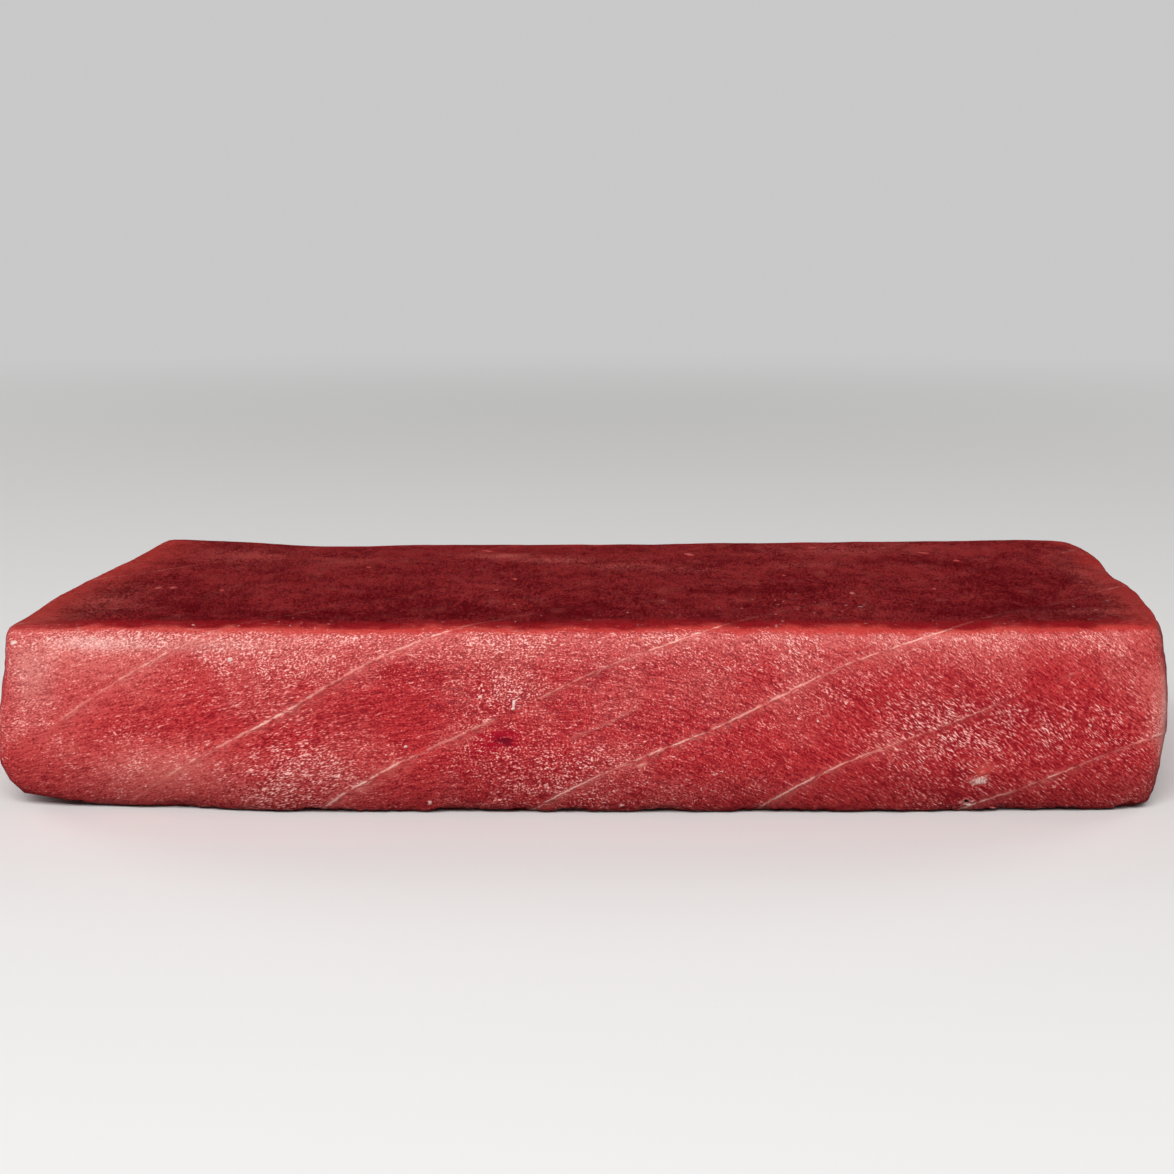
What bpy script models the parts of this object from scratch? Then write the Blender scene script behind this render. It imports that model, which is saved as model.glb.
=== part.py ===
"""A raw tuna steak: one hand-cut block of red loin, lying on its broad flat side.

X runs along the long cut face, Y from that front face to the back, Z up from the surface it rests on.
The origin is the middle of the base. All sizes are in metres.
"""
import math

import bmesh
import bpy
from mathutils import Vector

# Driving dimensions of the trimmed block, before the knife's unevenness is added.
LENGTH = 0.1606
DEPTH = 0.0815
THICKNESS = 0.0260

# Distance from each outer edge to its first support cut. The subdivided edge is about this round.
END_EDGE = 0.0036
SIDE_EDGE = 0.0036
TOP_EDGE = 0.0033
BASE_EDGE = 0.0015

# Cuts between the support cuts, so that the broad faces can carry a gentle relief.
CUTS_ALONG = 17
CUTS_ACROSS = 8
CUTS_UP = 2

# How the two ends depart from a square cut, seen from above. Places are shares of the depth.
LEFT_LEAN = 0.0052      # the left end leans in towards the back
LEFT_LEAN_FROM = 0.30
LEFT_LEAN_TO = 0.90
RIGHT_FLARE = 0.0070    # the right end flares out towards the back
RIGHT_DENT = 0.0016     # where the knife changed direction on the right end
RIGHT_DENT_AT = 0.57
RIGHT_DENT_FRONT = 0.06
RIGHT_DENT_BACK = 0.14

# Soft flesh swells between its cut edges. Each end is fullest at its own height.
LEFT_SWELL = 0.0028
LEFT_FULL_AT = 0.27
LEFT_SHARPNESS = 2.2
LEFT_TRIM = 0.0011      # below its top edge the left end is cut this much short
LEFT_TRIM_SHARPNESS = 7
RIGHT_SWELL = 0.0017
RIGHT_FULL_AT = 0.50
RIGHT_TRIM = 0.0003
FACE_SWELL = 0.0007
SWELL_SHARPNESS = 1.5

# How the front and back faces depart from straight.
FRONT_CROWN = 0.0007
BACK_CROWN = 0.0012
BACK_WAVE = 0.0009
HEEL_RECESS = 0.0025    # the foot of the front face draws back at the left end
HEEL_FROM = 0.22        # as shares of the length
HEEL_TO = 0.13
HEEL_LIFT = 0.0031      # and that bottom corner is rounded up off the surface
HEEL_SHARPNESS = 26
HEEL_OUT = 0.0012       # while it keeps its length

# Extra rounding of each upright corner, seen from above: front left, front right, back left, back right.
CORNER_PULL = {(-1, -1): 0.0002, (1, -1): 0.0014, (-1, 1): 0.0010, (1, 1): 0.0030}
CORNER_SHARPNESS = 7

# The top is not quite level: long low swells, and along the back two dips and two proud corners.
TOP_RIPPLE = 0.00014
BACK_RELIEF = [(0.0, 0.10, 0.0006), (0.18, 0.08, -0.0008), (0.45, 0.14, -0.0005), (1.0, 0.12, 0.0007)]

FLESH_COLOUR = (0.42, 0.035, 0.038, 1.0)
SUBDIVISIONS = 1


def clear_scene():
    for old in list(bpy.data.objects):
        bpy.data.objects.remove(old, do_unlink=True)


def flesh_material():
    """Wet dark-red muscle: glossy, never metallic, and slightly translucent."""
    material = bpy.data.materials.new("tuna_flesh")
    material.use_nodes = True
    shader = material.node_tree.nodes["Principled BSDF"]
    shader.inputs["Base Color"].default_value = FLESH_COLOUR
    shader.inputs["Roughness"].default_value = 0.38
    shader.inputs["Metallic"].default_value = 0.0
    shader.inputs["Subsurface Weight"].default_value = 0.3
    shader.inputs["Subsurface Scale"].default_value = 0.003
    return material


def cut_positions(low, high, low_edge, high_edge, between):
    """Where one axis of the block is cut: a support cut near each end, and even cuts between them."""
    first, last = low + low_edge, high - high_edge
    step = (last - first) / (between + 1)
    return [first + step * i for i in range(between + 2)]


def gridded_block():
    """A box of the driving dimensions, standing on Z = 0, with its faces cut into a grid."""
    mesh = bmesh.new()
    bmesh.ops.create_cube(mesh, size=1.0)
    bmesh.ops.scale(mesh, vec=(LENGTH, DEPTH, THICKNESS), verts=mesh.verts)
    bmesh.ops.translate(mesh, vec=(0.0, 0.0, THICKNESS / 2), verts=mesh.verts)
    half_length, half_depth = LENGTH / 2, DEPTH / 2
    cuts = {
        0: cut_positions(-half_length, half_length, END_EDGE, END_EDGE, CUTS_ALONG),
        1: cut_positions(-half_depth, half_depth, SIDE_EDGE, SIDE_EDGE, CUTS_ACROSS),
        2: cut_positions(0.0, THICKNESS, BASE_EDGE, TOP_EDGE, CUTS_UP),
    }
    for axis, positions in cuts.items():
        normal = Vector((0.0, 0.0, 0.0))
        normal[axis] = 1.0
        for position in positions:
            bmesh.ops.bisect_plane(
                mesh,
                geom=mesh.verts[:] + mesh.edges[:] + mesh.faces[:],
                dist=1e-6,
                plane_co=normal * position,
                plane_no=normal,
            )
    return mesh


def within_block(share):
    """A share of the way through the block, kept from 0 to 1."""
    return min(1.0, max(0.0, share))


def bump(value, centre, width):
    """A smooth hump of height 1 at the centre."""
    return math.exp(-(((value - centre) / width) ** 2))


def ramp(value, start, end):
    """Goes smoothly from 0 at the start to 1 at the end."""
    share = within_block((value - start) / (end - start))
    return share * share * (3 - 2 * share)


def swell(height, full_at, sharpness=SWELL_SHARPNESS):
    """How full a soft cut face is, from 0 at its two edges to 1 at the height where it is fullest."""
    eased = height ** (math.log(0.5) / math.log(full_at))
    return (4 * eased * (1 - eased)) ** sharpness


def left_offset(back, height):
    """Outward movement, towards -X, of the left end, by place from front (0) to back (1)."""
    lean = LEFT_LEAN * ramp(back, LEFT_LEAN_FROM, LEFT_LEAN_TO)
    trim = LEFT_TRIM * (1 - height**LEFT_TRIM_SHARPNESS)
    return LEFT_SWELL * swell(height, LEFT_FULL_AT, LEFT_SHARPNESS) - trim - lean


def right_offset(back, height):
    """Outward movement, towards +X, of the right end."""
    flare = RIGHT_FLARE * (1 - (1 - back) ** 2)
    width = RIGHT_DENT_FRONT if back < RIGHT_DENT_AT else RIGHT_DENT_BACK
    dent = RIGHT_DENT * bump(back, RIGHT_DENT_AT, width)
    return RIGHT_SWELL * swell(height, RIGHT_FULL_AT) + flare - RIGHT_TRIM - dent


def front_offset(along, height):
    """Outward movement, towards -Y, of the front face, by place from left (0) to right (1)."""
    crown = FRONT_CROWN * (1 - (2 * along - 1) ** 2)
    heel = HEEL_RECESS * ramp(along, HEEL_FROM, HEEL_TO) * (1 - height) ** 1.5
    return crown + FACE_SWELL * swell(height, 0.5) - heel


def back_offset(along, height):
    """Outward movement, towards +Y, of the back face."""
    crown = BACK_CROWN * (1 - (2 * along - 1) ** 2)
    wave = BACK_WAVE * math.sin(9.0 * along + 0.7)
    return crown + wave + FACE_SWELL * swell(height, 0.5)


def top_relief(along, back):
    """How far the top stands above its driving height."""
    ripple = TOP_RIPPLE * math.sin(14.0 * along - 5.0 * back)
    relief = sum(height * bump(along, centre, width) for centre, width, height in BACK_RELIEF)
    return ripple + relief * back**1.5


def shaped(point):
    """Moves a point of the plain box to its place on the hand-cut block."""
    along = within_block(point.x / LENGTH + 0.5)
    back = within_block(point.y / DEPTH + 0.5)
    height = within_block(point.z / THICKNESS)
    across, deep = 2 * along - 1, 2 * back - 1
    x = point.x + right_offset(back, height) * along - left_offset(back, height) * (1 - along)
    y = point.y + back_offset(along, height) * back - front_offset(along, height) * (1 - back)
    z = height * (THICKNESS + top_relief(along, back))
    for (side, face), pull in CORNER_PULL.items():
        near = max(0.0, side * across) ** CORNER_SHARPNESS * max(0.0, face * deep) ** CORNER_SHARPNESS
        x -= side * pull * near
        y -= face * pull * near
    outer = max(0.0, -across) ** HEEL_SHARPNESS * max(0.0, -deep) ** 3
    x -= HEEL_OUT * outer * (1 - height) ** 2
    z += HEEL_LIFT * outer * (1 - height) ** 2
    return Vector((x, y, z))


def centre_on_origin(steak):
    """Moves the mesh so that the finished, subdivided shape stands centred on the origin."""
    bpy.context.view_layer.update()
    finished = steak.evaluated_get(bpy.context.evaluated_depsgraph_get()).to_mesh()
    corners = [vertex.co for vertex in finished.vertices]
    middle = Vector(
        (
            (min(c.x for c in corners) + max(c.x for c in corners)) / 2,
            (min(c.y for c in corners) + max(c.y for c in corners)) / 2,
            min(c.z for c in corners),
        )
    )
    for vertex in steak.data.vertices:
        vertex.co -= middle


def tuna_steak(collection):
    """The one piece of flesh, as a cage with Subdivision Surface."""
    cage = gridded_block()
    for vertex in cage.verts:
        vertex.co = shaped(vertex.co)
    bmesh.ops.recalc_face_normals(cage, faces=cage.faces)
    mesh = bpy.data.meshes.new("tuna_steak")
    cage.to_mesh(mesh)
    cage.free()
    mesh.shade_smooth()
    mesh.materials.append(flesh_material())
    steak = bpy.data.objects.new("tuna_steak", mesh)
    collection.objects.link(steak)
    rounding = steak.modifiers.new("rounding", "SUBSURF")
    rounding.levels = SUBDIVISIONS
    rounding.render_levels = SUBDIVISIONS
    centre_on_origin(steak)
    return steak


def main():
    clear_scene()
    collection = bpy.data.collections.new("raw_tuna_steak")
    bpy.context.scene.collection.children.link(collection)
    tuna_steak(collection)


main()
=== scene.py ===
"""Looks of a raw tuna steak: moist, finely grained red flesh with slanting sheets of sinew.

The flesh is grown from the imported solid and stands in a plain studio. Its relief is real geometry
down to about a millimetre; finer grain, colour and gloss come from the material. Everything is in
metres, X along the long cut face, Y from that face to the back, Z up from the surface the steak lies on.
"""
import math

import bmesh
import bpy
import numpy as np
from bpy.props import FloatProperty, FloatVectorProperty, IntProperty, PointerProperty
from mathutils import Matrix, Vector
from mathutils.bvhtree import BVHTree
from mathutils.kdtree import KDTree


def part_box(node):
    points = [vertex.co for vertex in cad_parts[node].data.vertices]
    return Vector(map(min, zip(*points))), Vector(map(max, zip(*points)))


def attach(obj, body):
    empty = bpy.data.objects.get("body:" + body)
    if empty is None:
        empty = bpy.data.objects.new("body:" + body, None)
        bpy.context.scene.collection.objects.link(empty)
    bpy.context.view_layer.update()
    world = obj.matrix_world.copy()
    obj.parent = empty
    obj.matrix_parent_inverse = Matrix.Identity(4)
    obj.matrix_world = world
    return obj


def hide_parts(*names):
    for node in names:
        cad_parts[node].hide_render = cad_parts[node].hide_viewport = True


bl_info = {
    "name": "Raw Tuna Steak",
    "version": (1, 0, 0),
    "blender": (4, 5, 0),
    "location": "View3D > Sidebar > Tuna Steak",
    "description": "Builds the moist grained flesh of a raw tuna steak and a plain studio to look at it in",
    "category": "Object",
}

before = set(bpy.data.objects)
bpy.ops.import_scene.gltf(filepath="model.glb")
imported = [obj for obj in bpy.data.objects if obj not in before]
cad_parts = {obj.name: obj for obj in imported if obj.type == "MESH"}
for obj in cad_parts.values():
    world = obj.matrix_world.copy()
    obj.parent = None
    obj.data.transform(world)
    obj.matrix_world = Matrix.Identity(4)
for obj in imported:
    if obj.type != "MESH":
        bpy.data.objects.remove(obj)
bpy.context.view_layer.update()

MM = 0.001
NODE = "tuna_steak"
LOW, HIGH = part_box(NODE)
LENGTH, DEPTH, THICKNESS = HIGH - LOW
FRONT = LOW.y + 0.3 * MM        # the upper rim of the front face
MID_HEIGHT = THICKNESS / 2
EASE_ROUNDS = 40                # times that the solid's facets are smoothed
SWELL = 0.20 * MM               # height of the long swells of a cut face
LIP_REACH = 14 * MM             # how far in the raised upper rim reaches
FOOT_HEIGHT = 3.2 * MM          # up to here the torn foot is nicked and curled
BASE_LIMIT = 0.15 * MM          # the underside below this is pressed flat

# Sheets of sinew cross the whole block. Where they meet a face they show as thin pale lines.
SHEET_SPACING = 31.7 * MM       # between two lines, along the front face
SHEET_LEAN = 2.13               # how far a sheet runs along X for each unit of height
SHEET_FAN = 4.5                 # and how much that grows for each metre along X
SHEET_SWEEP = 0.904             # how far it runs along X for each unit of depth
SHEET_GAP = 13.4 * MM           # between two lines, square across them
SHEET_WIDTH = 0.4 * MM          # reach of the ridge that each makes
SHEET_STEP = 0.16 * MM          # how far the flesh steps in from one sheet to the next

# Seen from the front, muscle fibres rise to the right at the left end and dip steeply at the right end.
FIBRE_RISE = 0.28
FIBRE_DIP = 0.75
FIBRE_TURN_AT = 5 * MM
FIBRE_TURN_REACH = 30 * MM
GRAIN_DRIFT = 0.7 * MM          # how far the grain wanders from its even course

# Zones of the front face: centre along X, centre height, reach along X, reach in height, amount.
# Their lengths are in millimetres.
# The pale specks of open grain are partly pale fibre ends and partly painted glints.
OPEN_GRAIN = [                  # where fibre ends stand open and catch the light
    (54, 11, 24, 7, 0.8),
    (34, 17, 12, 5, 0.6),
    (-43, 6, 14, 5, 1.0),
    (-64, 7, 10, 6, 0.8),
    (-8, 6, 14, 6, 0.8),
    (-14, 17, 6, 4, 0.8),
    (-46, 21, 14, 5, 0.8),
    (10, 23, 22, 3, 0.6),
    (-79, 15, 7, 9, 0.75),
]
PALE_ZONES = [                  # where the cut is pale, in part a painted sheen, as at the upper left
    (-72, 22, 14, 5, 0.85),
    (-76, 14, 12, 10, 0.45),
    (-48, 23, 16, 4, 0.5),
    (-62, 6, 12, 5, 0.8),
    (-40, 5, 10, 4, 0.3),
    (78, 15, 4, 9, 0.7),
]
DEEP_ZONES = [                  # where it is moist and dark
    (-30, 15, 11, 4, 0.75),
    (-66, 12, 8, 2, 0.5),
    (8, 12, 10, 3, 0.7),
    (34, 7, 10, 3, 0.7),
    (52, 4, 9, 3, 0.9),
    (50, 14, 15, 5, 0.9),
    (64, 9, 12, 5, 0.6),
    (-16, 8, 5, 3, 0.8),
    (-1.3, 19.9, 1.8, 0.8, 1.6),
    (-7.3, 16.3, 1.5, 0.8, 1.6),
    (3.1, 12.7, 2.0, 0.9, 1.6),
    (48.5, 5.5, 1.8, 1.6, 1.8),
    (48.0, 2.4, 2.6, 1.6, 1.2),
    (-27, 20, 5, 1.6, 1.0),
]
EDGE_SHEEN_ZONES = [                 # where the rounded edges show a painted sheen, in the colour of white tissue
    (-69, 24.0, 8, 0.9, 0.42),
    (-54, 23.8, 9, 0.9, 0.2),
    (77.6, 14, 1.0, 9, 0.4),
    (-79, 20, 3, 5, 0.2),
]
SMOOTH_ZONES = [                # where the knife left the grain closed
    (60, 5, 10, 3, 1.0),
    (0, 14, 7, 3, 0.7),
    (-31, 16, 10, 3, 0.35),
    (10, 4, 10, 3, 0.7),
    (-20, 4, 6, 3, 0.5),
    (30, 6, 8, 3, 0.5),
    (14, 18, 7, 2, 0.5),
]

# Paler and darker places of the top: centre along X and Y, reach along X and Y, amount.
TOP_PALE_ZONES = [
    (-17, 24, 5, 3, 1.0),
    (-8, 20, 6, 3, 1.0),
    (3, 14, 6, 3, 0.8),
    (13, 10, 5, 2.5, 0.6),
    (-60, 26, 9, 8, 0.5),
    (-44, 20, 6, 5, 0.5),
    (42, 30, 14, 6, 0.5),
    (34, 14, 7, 3, 0.4),
    (68, -28, 9, 2.5, 0.6),
    (-74, -20, 5, 14, 0.6),
    (76, 0, 3, 20, 0.5),
]
TOP_DEEP_ZONES = [
    (56, -27, 13, 5, 1.0),
    (-25, -30, 30, 5, 0.6),
    (66, 4, 10, 14, 0.6),
    (-58, -22, 10, 6, 0.6),
]

# Places of the front face where the sheets of sinew are hard to see.
FADED_SINEW = [
    (-80, 9, 9, 5, 1.2),
    (-70, 15, 6, 5, 0.6),
    (-66, 3, 6, 4, 0.6),
    (-12.5, 16, 3, 3, 0.8),
    (58, 19, 14, 6, 0.7),
    (72, 19, 10, 6, 1.2),
    (70, 10, 8, 5, 0.6),
    (57.5, 4.0, 2.5, 2, 0.6),
    (43, 11, 8, 4, 0.45),
    (-63.5, 19.2, 2.5, 2, 0.7),
]

# Small marks of the front face: place along X and height.
BLOOD_SPOT = (-14.0, 10.6)
STAIN = (-14.6, 10.6)
FOLD = [(-6.0, 10.2), (-4.2, 11.0), (0.5, 13.0), (3.6, 14.7), (5.5, 15.2)]

# Bits of sinew that lie on the front face: place along X and height, half length, half width, tilt in
# degrees, how far they stand out, and how white they are. Lengths are in millimetres.
FRONT_BITS = [
    (-12.6, 15.9, 0.72, 0.24, 82, 0.12, 0.85),
    (-12.7, 15.2, 0.32, 0.28, 60, 0.18, 1.1),
    (-51.3, 21.9, 0.46, 0.40, 10, 0.14, 0.7),
    (-17.2, 16.8, 0.34, 0.26, -20, 0.18, 0.8),
    (-27.5, 9.8, 0.30, 0.22, 30, 0.16, 0.8),
    (-24.3, 1.7, 0.40, 0.36, 0, 0.34, 0.7),
    (4.9, 7.2, 1.10, 0.45, 18, 0.08, 0.4),
    (46.6, 13.1, 0.30, 0.20, 0, 0.12, 0.6),
    (53.6, 0.7, 0.75, 0.24, -8, 0.22, 0.5),
    (63.2, 5.1, 0.34, 0.18, -20, 0.12, 0.5),
    (-70.2, 24.6, 0.50, 0.20, 15, 0.16, 0.6),
    (-81.0, 24.0, 0.60, 0.35, 30, 0.22, 0.8),
    (2.2, 1.4, 0.42, 0.24, 12, 0.26, 0.6),
    (29.0, 13.4, 0.26, 0.16, -30, 0.14, 0.7),
    (66.5, 12.6, 0.40, 0.12, -38, 0.14, 0.7),
]

# The same on the top: place along X and Y, half length, half width, tilt, height and whiteness.
TOP_BITS = [
    (-68.0, -7.8, 0.75, 1.35, 10, 0.10, 0.33),
    (-65.8, -7.6, 0.80, 1.20, 0, 0.10, 0.33),
    (-58.0, -9.6, 0.60, 1.05, 20, 0.08, 0.22),
    (-19.6, 29.3, 0.80, 1.50, 40, 0.12, 0.22),
    (-13.8, 0.5, 0.50, 0.90, 0, 0.08, 0.22),
    (-16.3, -9.6, 0.45, 0.75, 0, 0.08, 0.22),
    (14.7, 26.0, 0.90, 1.65, 15, 0.14, 0.33),
    (36.2, 32.7, 1.00, 1.20, -10, 0.12, 0.22),
    (54.1, 24.9, 0.85, 1.35, 30, 0.12, 0.28),
    (58.1, 16.3, 0.70, 1.20, 0, 0.10, 0.22),
    (37.1, -13.9, 0.55, 1.35, 0, 0.12, 0.39),
    (50.1, -9.6, 0.50, 0.90, 0, 0.08, 0.22),
    (28.5, 3.0, 0.40, 0.75, 0, 0.08, 0.22),
    (-38.0, 12.0, 0.50, 0.90, 25, 0.08, 0.22),
]

# The cut end of a small vessel near the foot of the front face, the lobe above it and the tuft between.
VESSEL = (49.8, 1.9)
LOBE = (52.0, 6.2)
TUFT = (51.5, 4.86)

# Soft ovals of colour in the flesh: half length and half width in millimetres, and tilt in degrees.
LOBE_OVAL = (1.3, 1.0, 38)
TUFT_OVAL = (1.2, 0.62, 8)
STAIN_OVAL = (3.5, 1.8, 8)
BLOOD_OVAL = (1.3, 0.62, -8)

# The studio: size of each soft light and where it stands, and where the camera stands, in metres.
KEY_SIZE, KEY_PLACE = (0.9, 0.45), (-0.12, -0.78, 0.70)
GLINT_SIZE, GLINT_PLACE = (0.30, 0.20), (0.10, -0.92, 0.48)
FILL_SIZE, FILL_PLACE = (0.5, 0.5), (0.95, 0.65, 0.45)
CAMERA_PLACE = (-2.6 * MM, LOW.y - 268.9 * MM, 78.65 * MM)
SENSOR = 36.0                   # width of the camera's sensor, in millimetres
FLOOR_REACH = 4.0               # from the steak to each edge of the floor, in metres
BACKDROP = 0.58                 # brightness of the plain backdrop
FLOOR_FADES_FROM = 0.3          # the floor turns into the backdrop between these distances, in metres
FLOOR_FADES_TO = 1.1


class SteakSettings(bpy.types.PropertyGroup):
    mesh_step: FloatProperty(
        name="Mesh step", description="Distance between the points of the flesh",
        default=0.34 * MM, unit="LENGTH",
    )
    most_triangles: IntProperty(
        name="Most triangles", description="The flesh is thinned to this many", default=192000
    )
    sinew_ridge: FloatProperty(
        name="Sinew ridge", description="How far the sheets of sinew stand out",
        default=0.06 * MM, unit="LENGTH",
    )
    bundle_relief: FloatProperty(
        name="Bundle relief", description="Height of the fibre bundles", default=0.09 * MM, unit="LENGTH"
    )
    front_lip: FloatProperty(
        name="Front lip", description="How far the upper rim stands up along the front",
        default=0.40 * MM, unit="LENGTH",
    )
    flesh_colour: FloatVectorProperty(
        name="Flesh", description="The cut muscle", default=(0.55, 0.036, 0.039), subtype="COLOR"
    )
    deep_colour: FloatVectorProperty(
        name="Deep flesh", description="Dark fibres between the pale ones",
        default=(0.27, 0.004, 0.012), subtype="COLOR",
    )
    # Also the painted sheen of the upper rims and the upper left, and the painted highlight along the fold.
    pale_colour: FloatVectorProperty(
        name="Pale flesh", description="Where the cut is dry and open",
        default=(0.76, 0.23, 0.20), subtype="COLOR",
    )
    # Partly pale fibre ends and partly painted glints of the wet grain.
    moist_speck_and_glint_colour: FloatVectorProperty(
        name="Moist fibre ends", description="Pale specks of the open grain",
        default=(0.97, 0.55, 0.51), subtype="COLOR",
    )
    # The top's darkness is partly its smooth flesh and partly painted shade, as the top takes less light
    # than the front.
    top_colour: FloatVectorProperty(
        name="Top", description="The smooth dark top", default=(0.12, 0.002, 0.005), subtype="COLOR"
    )
    cloud_colour: FloatVectorProperty(
        name="Top clouds", description="Paler clouds of the top",
        default=(0.33, 0.026, 0.028), subtype="COLOR",
    )
    # A painted glow, laid into the colour of the flesh.
    glow_colour: FloatVectorProperty(
        name="Rim glow", description="Light shining through the upper rim",
        default=(0.61, 0.062, 0.048), subtype="COLOR",
    )
    # A painted glow: the strip of the top along the rim, lit as if through the rim.
    rim_glow_colour: FloatVectorProperty(
        name="Rim shade", description="Where the rim turns into the dark top",
        default=(0.32, 0.007, 0.012), subtype="COLOR",
    )
    sinew_colour: FloatVectorProperty(
        name="Sinew", description="Sheets of connective tissue", default=(0.98, 0.44, 0.38), subtype="COLOR"
    )
    # Also the colour of the painted sheen on the rounded edges.
    tissue_colour: FloatVectorProperty(
        name="Loose tissue", description="Bits of white tissue", default=(0.95, 0.64, 0.58), subtype="COLOR"
    )
    lobe_colour: FloatVectorProperty(
        name="Lobe", description="The soft lobe and the redder tissue",
        default=(0.60, 0.075, 0.060), subtype="COLOR",
    )
    # Painted shade: the vessel's hollow is barely sunk, and its darkness is laid into the colour.
    hole_shade_colour: FloatVectorProperty(
        name="Hole", description="Inside the cut vessel", default=(0.010, 0.002, 0.003), subtype="COLOR"
    )
    stain_colour: FloatVectorProperty(
        name="Stain", description="Flesh stained by blood", default=(0.36, 0.000, 0.015), subtype="COLOR"
    )
    blood_colour: FloatVectorProperty(
        name="Blood", description="The middle of the blood spot",
        default=(0.16, 0.000, 0.010), subtype="COLOR",
    )


class StageSettings(bpy.types.PropertyGroup):
    floor_colour: FloatVectorProperty(
        name="Floor", description="The plain pale floor", default=(0.88, 0.87, 0.86), subtype="COLOR"
    )
    key_power: FloatProperty(
        name="Key light", description="Power of the soft key light", default=10.2, unit="POWER"
    )
    glint_power: FloatProperty(
        name="Glints", description="Power of the light seen in the wet grain", default=4.2, unit="POWER"
    )
    fill_power: FloatProperty(
        name="Fill light", description="Power of each soft fill light", default=3.0, unit="POWER"
    )
    sky_strength: FloatProperty(
        name="Room light", description="Strength of the even room light", default=0.20
    )
    lens: FloatProperty(name="Lens", description="Focal length in millimetres", default=61.9)
    pitch: FloatProperty(
        name="Camera pitch", description="How far the camera looks down",
        default=math.radians(9.83), subtype="ANGLE",
    )


# ---- shape


class GrainField:
    """Smooth seeded noise in space, from -1 to 1: random values on a cubic lattice, blended between."""

    SIZE = 32

    def __init__(self, seed):
        self.values = np.random.default_rng(seed).uniform(-1, 1, (self.SIZE,) * 3)

    def __call__(self, points, cell):
        scaled = points / np.asarray(cell)
        base = np.floor(scaled).astype(int)
        part = scaled - base
        part = part * part * (3 - 2 * part)
        total = np.zeros(len(points))
        for corner in np.ndindex(2, 2, 2):
            weight = np.where(corner, part, 1 - part).prod(axis=1)
            a, b, c = ((base + corner) % self.SIZE).T
            total += weight * self.values[a, b, c]
        return total


def ramp(values, start, end):
    share = np.clip((values - start) / (end - start), 0, 1)
    return share * share * (3 - 2 * share)


def hump(values, centre, reach):
    return np.exp(-(((values - centre) / reach) ** 2))


def zones(points, listed, axis=2):
    """The strongest of the listed zones at each point, by place along X and the other axis."""
    x, other = points[:, 0] / MM, points[:, axis] / MM
    total = np.zeros(len(points))
    for centre_x, centre, reach_x, reach, amount in listed:
        total = np.maximum(total, amount * hump(x, centre_x, reach_x) * hump(other, centre, reach))
    return total


def sheet_count(points):
    """Counts the sheets of sinew passed on the way to each point: a whole number lies on a sheet."""
    x, y, z = points.T
    rise = z - MID_HEIGHT
    lean = SHEET_LEAN + SHEET_FAN * x
    wave = 0.7 * np.sin(x / (5.1 * MM) + y / (9 * MM)) + 0.6 * np.sin(z / (2.3 * MM) - x / (11 * MM) + 1.0)
    kink = 1.7 * hump(x, 50.5 * MM, 4 * MM) - 1.0 * hump(x, 63 * MM, 6 * MM)
    wave = wave + kink * ramp(-z, -13 * MM, -8 * MM)
    across = x - lean * rise - SHEET_SWEEP * (y - FRONT) + wave * MM
    crowding = 0.11 * ramp(-x, 50 * MM, 75 * MM)
    return across / SHEET_SPACING + 0.5 - crowding


def grain_space(points):
    """The points in a space whose first axis runs along the fibres."""
    x, y, z = points.T
    bend = FIBRE_TURN_REACH * np.log(np.cosh((x - FIBRE_TURN_AT) / FIBRE_TURN_REACH))
    across = z - FIBRE_RISE * x + (FIBRE_RISE + FIBRE_DIP) / 2 * (x + bend)
    return np.stack([x, y, across], axis=1)


def distance_in_plan(points, others):
    """How far each point is from the nearest of the others, seen from above."""
    tree = KDTree(len(others))
    for index, (x, y, _) in enumerate(others):
        tree.insert((x, y, 0), index)
    tree.balance()
    return np.array([tree.find((x, y, 0))[2] for x, y, _ in points])


def points_and_normals(mesh):
    read = []
    for items, name in ((mesh.vertices, "co"), (mesh.vertex_normals, "vector")):
        flat = np.empty(len(items) * 3)
        items.foreach_get(name, flat)
        read.append(flat.reshape(-1, 3))
    return read


def store(mesh, name, values):
    attribute = mesh.attributes.new(name, "FLOAT", "POINT")
    attribute.data.foreach_set("value", np.asarray(values, np.float32))


def applied(piece):
    """Makes the piece's modifiers its mesh."""
    bpy.context.view_layer.update()
    evaluated = piece.evaluated_get(bpy.context.evaluated_depsgraph_get())
    mesh = bpy.data.meshes.new_from_object(evaluated)
    piece.modifiers.clear()
    old = piece.data
    piece.data = mesh
    bpy.data.meshes.remove(old)
    return mesh


def even_block(settings):
    """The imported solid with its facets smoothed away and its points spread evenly."""
    cage = bmesh.new()
    cage.from_mesh(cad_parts[NODE].data)
    bmesh.ops.remove_doubles(cage, verts=cage.verts, dist=0.001 * MM)
    mesh = bpy.data.meshes.new("tuna_flesh")
    cage.to_mesh(mesh)
    cage.free()
    piece = bpy.data.objects.new("tuna_flesh", mesh)
    bpy.context.scene.collection.objects.link(piece)
    spread = piece.modifiers.new("spread", "REMESH")
    spread.mode = "VOXEL"
    spread.voxel_size = settings.mesh_step
    ease = piece.modifiers.new("ease", "SMOOTH")
    ease.factor = 0.5
    ease.iterations = EASE_ROUNDS
    applied(piece)
    return piece


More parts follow.
